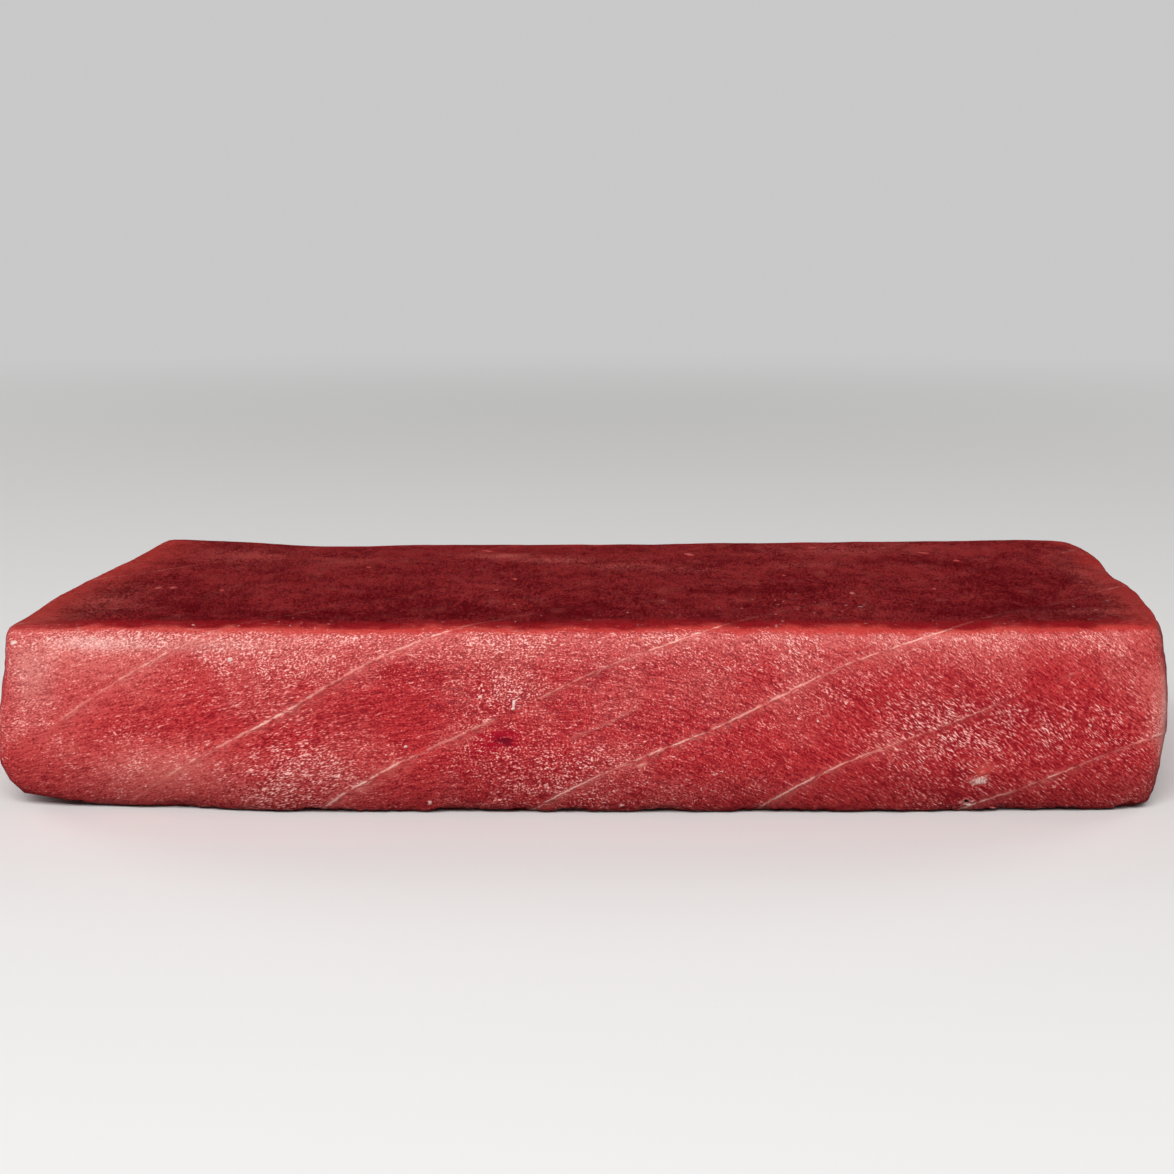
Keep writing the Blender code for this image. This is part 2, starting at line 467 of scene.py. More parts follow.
def relief(points, normals, settings):
    """How far each point of the flesh stands out from the plain block."""
    field = GrainField(11)
    grain = grain_space(points)
    sheets = sheet_count(points)
    share = sheets - np.floor(sheets)
    gap = np.abs(sheets - np.round(sheets)) * SHEET_GAP
    strength = 0.6 + 0.4 * field(points, 14 * MM)
    ridge = settings.sinew_ridge * strength * hump(gap, 0, SHEET_WIDTH)
    terrace = SHEET_STEP * strength * (share - 0.5)
    swell = SWELL * (field(points + 0.3, 11 * MM) + 0.5 * field(points + 0.5, 4.5 * MM))
    bundles = settings.bundle_relief * field(grain, (5 * MM, 1.5 * MM, 1.3 * MM))
    fine = 0.45 * settings.bundle_relief * field(grain + 0.1, (1.9 * MM, 0.9 * MM, 0.8 * MM))
    level = ramp(normals[:, 2], 0.5, 0.95)
    return swell * (1 - 0.5 * level) + (ridge + terrace + bundles + fine) * (1 - 0.75 * level)


def beside_fold(points):
    """Whether each point is along the fold, from 0 to 1, and how far above it, in millimetres."""
    x, z = points[:, 0] / MM, points[:, 2] / MM
    first, last = FOLD[0][0], FOLD[-1][0]
    along = ramp(x, first, first + 2) * ramp(-x, -last, -last + 2)
    return along, z - np.interp(x, *zip(*FOLD))


def marks(points, normals):
    """The dent at the blood spot and the fold, in the front face."""
    front = ramp(-normals[:, 1], 0.5, 0.9)
    x, z = points[:, 0] / MM, points[:, 2] / MM
    dent = -0.16 * hump(x, BLOOD_SPOT[0], 1.6) * hump(z, BLOOD_SPOT[1], 0.9)
    along, above = beside_fold(points)
    fold = along * (0.15 * hump(above, 0.4, 0.5) - 0.18 * hump(above, -0.45, 0.45))
    return (dent + fold) * MM * front


def ragged_foot(points, normals):
    """The foot of the block is torn, not clean: it is nicked, and in places curls up off the surface."""
    field = GrainField(5)
    z = points[:, 2]
    level = points * [1, 1, 0]
    side = ramp(np.hypot(normals[:, 0], normals[:, 1]), 0.1, 0.7)
    base = normals[:, 2] < -0.7
    wall = (side > 0.9) & (z > 0.5 * MM) & (z < 1.0 * MM)
    inset = np.zeros(len(points))
    inset[base] = distance_in_plan(points[base], points[wall][::3])
    low = 1 - ramp(z, 0, FOOT_HEIGHT)
    rim = low * (1 - ramp(inset, 0.5 * MM, 2.8 * MM))
    nick = 0.32 * field(level, 2.4 * MM) + 0.20 * field(level + 0.2, 1.0 * MM)
    curl = 0.55 * field(level + 0.4, 6 * MM) + 0.38 * field(level + 0.6, 2.1 * MM)
    curl += 0.2 * field(level + 0.8, 0.9 * MM)
    move = normals * [1, 1, 0] * (nick * low * side)[:, None] * MM
    move[:, 2] += np.maximum(0, curl + 0.12) * rim * MM
    return move, rim


def from_rim(points, normals, least=0.8, sideways=0.0):
    """How far in from the upper rim each point that faces up lies, seen from above. It is 0 elsewhere.

    A point faces up if its normal's Z is over the least. Only the rim that faces sideways enough is taken.
    """
    level = normals[:, 2] > least
    wall = (np.abs(normals[:, 2]) < 0.7) & (np.abs(points[:, 2] - THICKNESS + 4 * MM) < 1.5 * MM)
    wall &= np.abs(normals[:, 0]) >= sideways
    inset = np.zeros(len(points))
    inset[level] = distance_in_plan(points[level], points[wall][::3])
    return inset


def shape_flesh(mesh, settings):
    """Gives the block its relief. Returns how well each point can be spared, from 0 to 1."""
    points, normals = points_and_normals(mesh)
    under = ramp(-normals[:, 2], 0.2, 0.7)
    out = (relief(points, normals, settings) + marks(points, normals)) * (1 - under)
    foot, rim = ragged_foot(points, normals)
    moved = points + normals * out[:, None] + foot
    lip = settings.front_lip * (1 + 0.35 * GrainField(8)(points, 6 * MM))
    lip *= 1 - ramp(points[:, 1] - FRONT, 0, LIP_REACH)
    moved[:, 2] += lip * ramp(points[:, 2], THICKNESS - 5 * MM, THICKNESS - 1 * MM)
    moved[:, 2] = np.maximum(moved[:, 2], 0)
    flat = (normals[:, 2] < -0.9) & (rim < 0.01) & (points[:, 2] < BASE_LIMIT)
    moved[flat, 2] = 0
    mesh.vertices.foreach_set("co", moved.ravel())
    mesh.update()
    return np.maximum(under * (1 - 0.6 * ramp(rim, 0, 0.5)), 0.4 * (1 - ramp(-normals[:, 1], 0.3, 0.6)))


def thin_out(piece, spare, most):
    """Fewer triangles, taken first from the underside and last from the front."""
    group = piece.vertex_groups.new(name="spare")
    steps = np.ceil(spare * 10).astype(int)
    for step in range(1, 11):
        group.add(np.nonzero(steps == step)[0].tolist(), step / 10, "REPLACE")
    triangles = sum(len(face.vertices) - 2 for face in piece.data.polygons)
    fewer = piece.modifiers.new("fewer", "DECIMATE")
    fewer.ratio = min(1.0, most / triangles)
    fewer.vertex_group = group.name
    fewer.vertex_group_factor = 2.0
    fewer.use_collapse_triangulate = True
    applied(piece)
    piece.vertex_groups.clear()


def mark_flesh(mesh):
    """Stores on each point what the material needs to know about its place."""
    points, normals = points_and_normals(mesh)
    z = points[:, 2]
    front = ramp(-normals[:, 1], 0.2, 0.7)
    field = GrainField(3)
    store(mesh, "sheets", sheet_count(points))
    inset = from_rim(points, normals)
    uneven = 0.9 * MM * field(points + 0.2, 3 * MM) + 0.5 * MM * field(points + 0.6, 1 * MM)
    rough = 0.09 * field(points + 0.9, 5 * MM) + 0.06 * field(points + 0.1, 1.2 * MM)
    curve = normals[:, 2] + rough * (1 - ramp(inset, 2.5 * MM, 5.0 * MM))
    level = ramp(curve, 0.87, 1.0)
    near_end = ramp(np.abs(points[:, 0]) + 2 * uneven, 0.40 * LENGTH, 0.50 * LENGTH)
    store(mesh, "top", level * (1 - 0.75 * near_end * (1 - ramp(inset + 2 * uneven, 1.5 * MM, 8.0 * MM))))
    # Painted glow: where the upper rim rounds over, the flesh is coloured as if lit through it.
    crest = ramp(normals[:, 2] + 0.12 * field(points + 0.9, 2 * MM), 0.44, 0.84)
    store(mesh, "crest", crest * (1 - 0.6 * near_end))
    # Painted glow: the strip of the top along its rim, widest at the front.
    near_front = 1 - ramp(points[:, 1] - FRONT, 5 * MM, 16 * MM)
    strip = 1 - ramp(inset + 1.5 * uneven, 2.8 * MM, (5 + 3 * near_front) * MM)
    store(mesh, "glow", strip * (0.45 + 0.55 * near_front) * (1 - 0.6 * near_end))
    # Painted glints: how far the pale dots reach back from the front of the top.
    store(mesh, "dotted", 1 - ramp(points[:, 1] - FRONT, 10 * MM, 40 * MM))
    aside = from_rim(points, normals, 0.3, 0.7) + 1.5 * uneven
    ends = 1 - ramp(aside, 2 * MM, 10 * MM)
    store(mesh, "wispy", level * ends * (1 - ramp(points[:, 1] - FRONT, 8 * MM, 45 * MM)))
    # Painted glow along the upper rim of the ends.
    left, right = 0.58 * (1 - ramp(aside, 0, 11 * MM)), 0.30 * (1 - ramp(aside, 0, 7 * MM))
    end_glow = np.where(points[:, 0] < 0, left, right) * ramp(points[:, 1] - FRONT, 1 * MM, 6 * MM)
    store(mesh, "end_glow", end_glow * ramp(normals[:, 2], 0.3, 0.7))
    store(mesh, "top_pale", level * zones(points, TOP_PALE_ZONES, axis=1))
    store(mesh, "top_deep", zones(points, TOP_DEEP_ZONES, axis=1))
    # Painted sheen: a band along the top of every side is made paler and more open, as more light falls on
    # it.
    rim = hump(z, THICKNESS - 1.5 * MM, 3.2 * MM) * ramp(np.hypot(normals[:, 0], normals[:, 1]), 0.5, 0.95)
    elsewhere = 0.5 + 0.5 * field(points, 9 * MM)
    opened = (zones(points, OPEN_GRAIN) - zones(points, SMOOTH_ZONES)) * front + elsewhere * (1 - front)
    store(mesh, "open_grain", np.maximum(opened, 0.75 * rim))
    pale = zones(points, PALE_ZONES) * front
    store(mesh, "pale", np.maximum(pale, 0.55 * rim))
    elsewhere = 0.8 * np.maximum(0, field(points + 0.4, 8 * MM))
    store(mesh, "deep", zones(points, DEEP_ZONES) * front + elsewhere * (1 - front))
    # Painted shade: the flesh grows darker towards the foot.
    store(mesh, "foot", 1 - ramp(z, -1 * MM, 10 * MM))
    shown = 0.75 + 0.45 * field(points + 0.7, 9 * MM) - zones(points, FADED_SINEW) * front
    shown = np.clip(shown, 0, 1) * (1 - 0.75 * level * ramp(inset + 5 * uneven, 4 * MM, 20 * MM))
    store(mesh, "sinew_shown", shown)
    # Painted sheen on the rounded edges.
    store(mesh, "edge_sheen", zones(points, EDGE_SHEEN_ZONES) * front)
    along, above = beside_fold(points)
    # Painted highlight along the lip of the fold.
    store(mesh, "fold_highlight", along * hump(above, 0.25, 0.28) * front)


# ---- material


class Graph:
    """Short calls for wiring up the nodes of a new material or world."""

    def __init__(self, owner):
        owner.use_nodes = True
        self.owner = owner
        self.tree = owner.node_tree
        self.tree.nodes.clear()

    def node(self, kind, inputs=None, **settings):
        made = self.tree.nodes.new("ShaderNode" + kind)
        for name, value in settings.items():
            setattr(made, name, value)
        for name, value in (inputs or {}).items():
            self.feed(made.inputs[name], value)
        return made

    def feed(self, socket, value):
        if isinstance(value, bpy.types.NodeSocket):
            self.tree.links.new(value, socket)
        else:
            socket.default_value = value

    def math(self, operation, first, second=0.0, third=0.0):
        made = self.tree.nodes.new("ShaderNodeMath")
        made.operation = operation
        for socket, value in zip(made.inputs, (first, second, third)):
            self.feed(socket, value)
        return made.outputs[0]

    def times(self, *factors):
        total = factors[0]
        for factor in factors[1:]:
            total = self.math("MULTIPLY", total, factor)
        return total

    def plus(self, *terms):
        total = terms[0]
        for term in terms[1:]:
            total = self.math("ADD", total, term)
        return total

    def scaled(self, value, factor, offset=0.0):
        return self.math("MULTIPLY_ADD", value, factor, offset)

    def stored(self, name):
        return self.node("Attribute", attribute_name=name).outputs["Fac"]

    def noise(self, vector, scale, detail=1.0, roughness=0.5):
        made = self.node(
            "TexNoise", {"Vector": vector, "Scale": scale, "Detail": detail, "Roughness": roughness}
        )
        return made.outputs["Fac"]

    def span(self, value, start, end, low=0.0, high=1.0):
        made = self.node(
            "MapRange",
            {"Value": value, "From Min": start, "From Max": end, "To Min": low, "To Max": high},
            interpolation_type="SMOOTHSTEP",
        )
        return made.outputs["Result"]

    def stretched(self, vector, factors):
        """Multiplies each part of the vector or colour by its own factor."""
        return self.node("VectorMath", {0: vector, 1: factors}, operation="MULTIPLY").outputs[0]

    def shaded(self, colour, shade):
        """The colour with its red, green and blue all multiplied by the shade."""
        return self.stretched(colour, self.node("CombineXYZ", {0: shade, 1: shade, 2: shade}).outputs[0])

    def blend(self, share, first, second):
        """Goes from the first number to the second."""
        return self.math("MULTIPLY_ADD", self.math("SUBTRACT", second, first), share, first)

    def mix(self, share, first, second):
        made = self.node("Mix", data_type="RGBA")
        colours = [socket for socket in made.inputs if socket.type == "RGBA"]
        self.feed(made.inputs[0], share)
        for socket, colour in zip(colours, (first, second)):
            self.feed(socket, colour if isinstance(colour, bpy.types.NodeSocket) else (*colour, 1.0))
        return next(socket for socket in made.outputs if socket.type == "RGBA")

    def bumps(self, height, distance):
        made = self.node("Bump", {"Height": height, "Strength": 1.0, "Distance": distance})
        return made.outputs["Normal"]

    def finish(self, **inputs):
        names = {name.replace("_", " "): value for name, value in inputs.items()}
        shader = self.node("BsdfPrincipled", names)
        self.node("OutputMaterial", {"Surface": shader.outputs[0]})
        return self.owner


def grain_vector(graph, place, stretch):
    """Object coordinates laid along the fibres, and drawn out along them by the stretch."""
    x, y, z = graph.node("SeparateXYZ", {"Vector": place}).outputs
    turn = (FIBRE_RISE + FIBRE_DIP) / 2
    offset = graph.scaled(x, 1 / FIBRE_TURN_REACH, -FIBRE_TURN_AT / FIBRE_TURN_REACH)
    bend = graph.times(graph.math("LOGARITHM", graph.math("COSH", offset), math.e), turn * FIBRE_TURN_REACH)
    across = graph.plus(graph.scaled(x, turn - FIBRE_RISE), z, bend)
    return graph.node("CombineXYZ", {"X": graph.times(x, 1 / stretch), "Y": y, "Z": across}).outputs[0]


def soft_spot(graph, place, ragged, centre, half_length, half_width, tilt):
    """A ragged oval on the front face, from 1 inside to 0 outside. Lengths are in millimetres."""
    middle = (centre[0] * MM, LOW.y, centre[1] * MM)
    away = graph.node("VectorMath", {0: place, 1: middle}, operation="SUBTRACT").outputs[0]
    turned = graph.node(
        "VectorRotate", {"Vector": away, "Angle": math.radians(tilt)}, rotation_type="Y_AXIS"
    ).outputs[0]
    squeezed = graph.stretched(turned, (1 / (half_length * MM), 1 / (4 * MM), 1 / (half_width * MM)))
    reach = graph.node("VectorMath", {0: squeezed}, operation="LENGTH").outputs["Value"]
    return graph.span(graph.plus(reach, graph.scaled(ragged, 2.4, -2.4)), 0.55, 1.15, 1.0, 0.0)


def flesh_material(settings):
    graph = Graph(bpy.data.materials.new("moist_tuna_flesh"))
    place = graph.node("TexCoord").outputs["Object"]
    drift = graph.node("TexNoise", {"Vector": place, "Scale": 180.0, "Detail": 1.0}).outputs["Color"]
    centred = graph.node("VectorMath", {0: place, 1: (-GRAIN_DRIFT / 2,) * 3}, operation="ADD").outputs[0]
    shifted = graph.node(
        "VectorMath", {0: drift, 1: (GRAIN_DRIFT,) * 3, 2: centred}, operation="MULTIPLY_ADD"
    ).outputs[0]
    grain = grain_vector(graph, shifted, 1.5)
    long_grain = grain_vector(graph, shifted, 2.8)
    threads = grain_vector(graph, shifted, 6.5)

    top = graph.stored("top")
    side = graph.scaled(top, -1.0, 1.0)
    opened = graph.stored("open_grain")
    sheets = graph.stored("sheets")
    pale = graph.stored("pale")
    deep = graph.stored("deep")

    # Fibres are short stipple in the middle and along the upper rim, and longer strokes elsewhere.
    along, back, above = graph.node("SeparateXYZ", {"Vector": place}).outputs
    straight = graph.span(graph.math("ABSOLUTE", along), 15 * MM, 45 * MM)
    straight = graph.times(straight, graph.span(above, 14 * MM, 21 * MM, 1.0, 0.25))
    straight = graph.times(straight, graph.span(along, -70 * MM, -40 * MM, 0.5, 1.0))
    short, strokes = graph.noise(grain, 5000.0), graph.noise(long_grain, 6000.0)
    stipple = graph.blend(straight, short, strokes)
    fibres = graph.noise(threads, 3200.0, 2.0, 0.6)
    mottle = graph.noise(shifted, 900.0, 2.0, 0.55)
    patches = graph.noise(place, 110.0, 2.0)

    # The sheets of sinew: how far past the nearest one, in millimetres, and the share of the way on.
    share = graph.math("FRACT", sheets)
    wander = graph.scaled(graph.noise(place, 900.0, 3.0, 0.65), 0.5, -0.25)
    past = graph.math("SUBTRACT", sheets, graph.math("ROUND", sheets))
    past = graph.plus(graph.times(past, SHEET_GAP / MM), wander)
    gap = graph.math("ABSOLUTE", past)
    uneven = graph.noise(place, 520.0, 2.0, 0.6)
    shown = graph.times(graph.stored("sinew_shown"), graph.span(uneven, 0.36, 0.58, 0.15, 1.0))
    shown = graph.times(shown, graph.scaled(top, -0.75, 1.0))
    line = graph.times(graph.span(gap, 0.0, graph.scaled(uneven, 0.34, 0.03), 1.0, 0.0), shown)
    strand = graph.noise(place, 260.0, 2.0)
    second = graph.math("ABSOLUTE", graph.math("SUBTRACT", past, graph.scaled(strand, 2.4, -0.75)))
    second = graph.times(graph.span(second, 0.0, 0.10, 1.0, 0.0), graph.span(strand, 0.44, 0.52, 0.6, 0.0))
    second = graph.times(second, graph.stored("sinew_shown"), side)
    line = graph.math("MAXIMUM", line, second)
    halo = graph.times(graph.span(past, -0.9, 0.0), graph.span(past, 0.0, 1.8, 1.0, 0.0), shown)
    # Painted shadow in a thin band just past each sheet of sinew.
    line_shadow = graph.times(graph.span(past, 0.05, 0.25), graph.span(past, 0.3, 0.7, 1.0, 0.0), shown)
    smooth_side = graph.span(share, 0.0, 0.14, 1.0, 0.0)

    # How open the grain is, and the pale moist specks it shows: partly pale fibre ends, partly painted
    # glints.
    clumps = graph.plus(
        graph.times(mottle, 0.25),
        graph.times(patches, 0.40),
        graph.times(graph.noise(shifted, 330.0, 2.0, 0.6), 0.35),
    )
    clumps = graph.span(clumps, 0.41, 0.59, 0.45, 1.1)
    open_grain = graph.times(graph.scaled(opened, 0.8, 0.32), clumps, graph.scaled(smooth_side, -0.75, 1.0))
    open_grain = graph.times(open_grain, graph.scaled(graph.stored("crest"), -0.80, 1.0))
    speckle = graph.plus(
        graph.times(stipple, graph.scaled(open_grain, 0.28, 0.50)),
        graph.times(fibres, graph.scaled(open_grain, -0.28, 0.42)),
        graph.times(mottle, 0.08),
    )
    limit = graph.scaled(open_grain, -0.085, 0.595)
    specks = graph.node(
        "MapRange", {"Value": speckle, "From Min": limit, "From Max": graph.plus(limit, 0.13)}
    ).outputs["Result"]
    specks = graph.times(specks, graph.scaled(open_grain, 0.25, 0.80))

    # Muscle colour, from deep to pale.
    tone = graph.plus(speckle, graph.times(pale, 0.06), graph.times(deep, -0.035), graph.times(line_shadow, -0.04))
    muscle = graph.mix(graph.span(tone, 0.41, 0.545), settings.deep_colour, settings.flesh_colour)
    paler = graph.plus(
        graph.span(patches, 0.40, 0.70, 0.0, 0.30), graph.times(pale, 0.65), graph.times(deep, -0.3)
    )
    paler = graph.times(paler, graph.span(tone, 0.42, 0.60, graph.scaled(pale, 0.10, 0.25), 1.0))
    muscle = graph.mix(paler, muscle, settings.pale_colour)
    muscle = graph.mix(graph.times(halo, 0.28), muscle, settings.pale_colour)
    # Painted highlight along the lip of the fold.
    muscle = graph.mix(graph.times(graph.stored("fold_highlight"), 0.38), muscle, settings.pale_colour)
    # Painted glow of light through the rounded upper rim.
    crest = graph.times(graph.stored("crest"), graph.span(stipple, 0.35, 0.65, 0.78, 0.42))
    muscle = graph.mix(crest, muscle, settings.glow_colour)
    ragged = graph.plus(
        graph.times(fibres, 0.5),
        graph.times(graph.noise(shifted, 1500.0, 2.0, 0.6), 0.9),
        graph.times(stipple, 0.6),
    )
    lobe = soft_spot(graph, place, ragged, LOBE, *LOBE_OVAL)
    muscle = graph.mix(graph.times(lobe, 0.75), muscle, settings.lobe_colour)
    # Pale specks, partly painted glints.
    muscle = graph.mix(graph.times(specks, graph.scaled(lobe, -0.8, 1.0)), muscle, settings.moist_speck_and_glint_colour)
    frayed = graph.stretched(place, (1.0, 1.0, 0.35))
    tuft = soft_spot(graph, place, ragged, TUFT, *TUFT_OVAL)
    tuft = graph.times(tuft, graph.span(graph.noise(frayed, 5000.0, 2.0, 0.6), 0.36, 0.58, 0.25, 0.95))
    muscle = graph.mix(tuft, muscle, settings.tissue_colour)
    # Painted sheen on the rounded edges, in the colour of white tissue.
    edge_sheen = graph.times(graph.stored("edge_sheen"), graph.span(tone, 0.42, 0.56, 0.5, 1.0))
    muscle = graph.mix(edge_sheen, muscle, settings.tissue_colour)
    muscle = graph.mix(line, muscle, settings.sinew_colour)
    muscle = graph.mix(graph.span(line, 0.45, 0.95, 0.0, 0.6), muscle, settings.tissue_colour)
    stain = soft_spot(graph, place, ragged, STAIN, *STAIN_OVAL)
    muscle = graph.mix(graph.times(stain, graph.scaled(specks, -0.55, 0.95)), muscle, settings.stain_colour)
    core = soft_spot(graph, place, ragged, BLOOD_SPOT, *BLOOD_OVAL)
    muscle = graph.mix(graph.times(core, 0.9), muscle, settings.blood_colour)
    # Painted shade: the muscle darkens towards the foot; its pale specks darken less.
    foot = graph.stored("foot")
    shade = graph.plus(graph.scaled(foot, -0.52, 1.0), graph.times(specks, foot, 0.2))
    muscle = graph.shaded(muscle, shade)

    # The top is smoother and darker, partly its own colour and partly painted shade. It is clouded, lighter
    # towards the back as a painted sheen, and has a painted red glow along its rim.
    drawn = graph.stretched(shifted, (1.0, 0.45, 1.0))
    clouds = graph.plus(
        graph.times(graph.noise(shifted, 90.0, 2.0), 0.20),
        graph.times(graph.noise(drawn, 500.0, 2.0, 0.6), 0.20),
        graph.times(graph.noise(drawn, 3300.0, 2.0, 0.65), 0.60),
    )
    # Painted sheen: the top grows lighter towards the back.
    depth_share = graph.scaled(back, 1 / DEPTH, 0.5)
    cloudy = graph.plus(
        graph.span(clouds, 0.42, 0.59, -0.1, 1.1),
        graph.span(depth_share, 0.0, 1.0, -0.15, 0.20),
        graph.times(graph.stored("top_deep"), -0.40),
    )
    crown = graph.mix(cloudy, settings.top_colour, settings.cloud_colour)
    blotches = graph.span(graph.noise(drawn, 300.0), 0.50, 0.95, 0.0, 0.14)
    paler = graph.times(graph.stored("top_pale"), graph.span(clouds, 0.42, 0.58, 0.06, 0.44))
    blotches = graph.plus(blotches, paler)
    faded = [(first + second) / 2 for first, second in zip(settings.glow_colour, settings.pale_colour)]
    crown = graph.mix(graph.times(blotches, 1.2), crown, faded)
    # Painted glow along the rim of the top.
    glow = graph.stored("glow")
    rim = graph.times(glow, graph.span(clouds, 0.38, 0.60, 0.50, 1.0))
    crown = graph.mix(rim, crown, settings.rim_glow_colour)
    # Painted glints: pale dots near the front of the top, and the specks of the glowing strip.
    dots = graph.times(graph.stored("dotted"), graph.span(patches, 0.45, 0.60, 0.2, 1.0), 0.45)
    dots = graph.times(dots, graph.span(graph.noise(drawn, 1700.0, 0.0), 0.77, 0.85))
    dots = graph.math("MAXIMUM", dots, graph.times(specks, glow, 0.4))
    streaks = graph.noise(graph.stretched(shifted, (0.4, 1.0, 1.0)), 2400.0, 2.0, 0.6)
    wisps = graph.span(streaks, 0.47, 0.70, 0.0, 0.75)
    crown = graph.mix(graph.times(wisps, graph.stored("wispy")), crown, faded)
    crown = graph.mix(dots, crown, settings.moist_speck_and_glint_colour)
    crown = graph.mix(graph.times(line, 0.7), crown, settings.sinew_colour)
    colour = graph.mix(top, muscle, crown)
    # Painted glow along the upper rim of the ends.
    ends = graph.times(graph.stored("end_glow"), graph.span(clouds, 0.40, 0.60, 0.60, 1.15))
    ends = graph.times(ends, graph.span(fibres, 0.32, 0.62, 0.70, 1.15), graph.scaled(line, -1.0, 1.0))
    colour = graph.mix(ends, colour, settings.glow_colour)

    height = graph.plus(graph.times(stipple, 0.60), graph.times(fibres, 0.25), graph.times(mottle, 0.45))
    softer = graph.times(graph.scaled(top, -0.85, 1.0), graph.scaled(pale, -0.20, 1.0))
    height = graph.plus(graph.times(height, softer), graph.times(line, 0.03))
    bumps = graph.bumps(height, 0.22 * MM)
    return graph.finish(
        Base_Color=colour,
        Roughness=graph.scaled(top, 0.10, 0.45),
        Specular_IOR_Level=0.22,
        Normal=bumps,
        Subsurface_Weight=0.25,
        Subsurface_Radius=(1.0, 0.18, 0.12),
        Subsurface_Scale=2.2 * MM,
        IOR=1.35,
        Coat_Weight=graph.plus(graph.scaled(graph.stored("crest"), -0.65, 0.80), graph.times(stain, -0.75)),
        Coat_Roughness=0.14,
        Coat_IOR=1.33,
        Coat_Normal=bumps,
    )


def sinew_material(settings):
    """Wet white tissue that melts into the flesh around it. A lobe is redder, and a hole is almost black,
    painted shade of its hollow. All of it is darker towards the foot, a painted shade.
    """
    graph = Graph(bpy.data.materials.new("wet_sinew"))
    place = graph.node("TexCoord").outputs["Object"]
    ruffled = graph.noise(place, 2600.0, 3.0, 0.6)
    white = graph.plus(graph.stored("white"), graph.scaled(ruffled, 0.9, -0.45))
    colour = graph.mix(graph.span(white, 0.1, 1.0), settings.lobe_colour, settings.tissue_colour)
    # Painted shade of the vessel's hollow.
    colour = graph.mix(graph.span(graph.stored("hole"), 0.35, 0.75), colour, settings.hole_shade_colour)
    melt = graph.plus(graph.stored("melt"), graph.scaled(ruffled, 0.6, -0.30))
    colour = graph.mix(graph.span(melt, 0.35, 0.85), colour, settings.flesh_colour)
    # Painted shade: darker towards the foot, as on the flesh.
    height = graph.node("SeparateXYZ", {"Vector": place}).outputs[2]
    colour = graph.shaded(colour, graph.span(height, -1 * MM, 10 * MM, 0.55, 1.0))
    bumps = graph.bumps(ruffled, 0.15 * MM)
    return graph.finish(
        Base_Color=colour,
        Roughness=0.40,
        Normal=bumps,
        Subsurface_Weight=0.25,
        Subsurface_Radius=(1.0, 0.4, 0.3),
        Subsurface_Scale=1.0 * MM,
        IOR=1.38,
        Coat_Weight=0.7,
        Coat_Roughness=0.12,
        Coat_IOR=1.33,
        Coat_Normal=bumps,
    )


# ---- small bits


def mound(share):
    return 1 - share * share


def crater(share):
    """A raised lip around a sunken floor."""
    return math.exp(-(((share - 0.60) / 0.20) ** 2)) + 0.35 * (1 - share * share)


class Draping:
    """Lays small soft patches on the flesh and gathers them in one mesh."""

    RINGS = 6
    SPOKES = 28
    TUCK = 0.06 * MM            # how far a patch's rim dips under the surface
    START = 100 * MM            # how far off the middle of the steak each ray sets out

    def __init__(self, flesh, seed):
        self.tree = BVHTree.FromObject(flesh, bpy.context.evaluated_depsgraph_get())
        self.random = np.random.default_rng(seed)
        self.mesh = bmesh.new()
        self.layers = {name: self.mesh.verts.layers.float.new(name) for name in ("white", "melt", "hole")}

    def patch(self, facing, place, half_length, half_width, tilt, height, white, profile=mound, hole=0.0):
        """A patch seen from the front (facing -Y) or from above (facing +Z), its rim slightly wavy."""
        place = Vector(place) * MM
        turn = math.radians(tilt)
        flat = (Vector((1, 0, 0)), Vector((0, 0, 1)) if facing.y else Vector((0, 1, 0)))
        along = flat[0] * math.cos(turn) + flat[1] * math.sin(turn)
        across = flat[1] * math.cos(turn) - flat[0] * math.sin(turn)
        phases = self.random.uniform(0, 2 * math.pi, 3)
        waves = self.random.uniform(0.04, 0.14, 3)
        rings = []
        for ring in range(self.RINGS + 1):
            share = ring / self.RINGS
            row = []
            for spoke in range(self.SPOKES if ring else 1):
                angle = 2 * math.pi * spoke / self.SPOKES
                ripples = zip(waves, phases, (2, 3, 4))
                reach = 1 + sum(wave * math.sin(times * angle + phase) for wave, phase, times in ripples)
                offset = along * (math.cos(angle) * half_length) + across * (math.sin(angle) * half_width)
                start = place + offset * (share * reach * MM) + facing * self.START
                point, normal, _, _ = self.tree.ray_cast(start, -facing)
                if point is None:
                    raise RuntimeError("a bit of sinew misses the flesh")
                lift = (height * profile(share) * MM) - self.TUCK * share**4
                vertex = self.mesh.verts.new(point + (normal * 0.4 + facing * 0.6) * lift)
                vertex[self.layers["white"]] = white
                vertex[self.layers["melt"]] = share ** (3 if white > 0.5 else 1.2)
                vertex[self.layers["hole"]] = hole * max(0.0, 1 - share / 0.62)
                row.append(vertex)
            rings.append(row)
        for inner, outer in zip(rings, rings[1:]):
            for spoke in range(self.SPOKES):
                after = (spoke + 1) % self.SPOKES
                corners = [outer[spoke], outer[after]]
                corners += [inner[after], inner[spoke]] if len(inner) > 1 else [inner[0]]
                self.mesh.faces.new(corners)

    def finish(self, name, settings):
        mesh = bpy.data.meshes.new(name)
        self.mesh.to_mesh(mesh)
        self.mesh.free()
        mesh.shade_smooth()
        mesh.materials.append(sinew_material(settings))
        piece = bpy.data.objects.new(name, mesh)
        bpy.context.scene.collection.objects.link(piece)
        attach(piece, "root")


def flesh_piece():
    flesh = bpy.data.objects.get("tuna_flesh")
    if flesh is None:
        raise RuntimeError("build the flesh first")
    return flesh


FORWARD = Vector((0, -1, 0))
UP = Vector((0, 0, 1))

# ---- operators


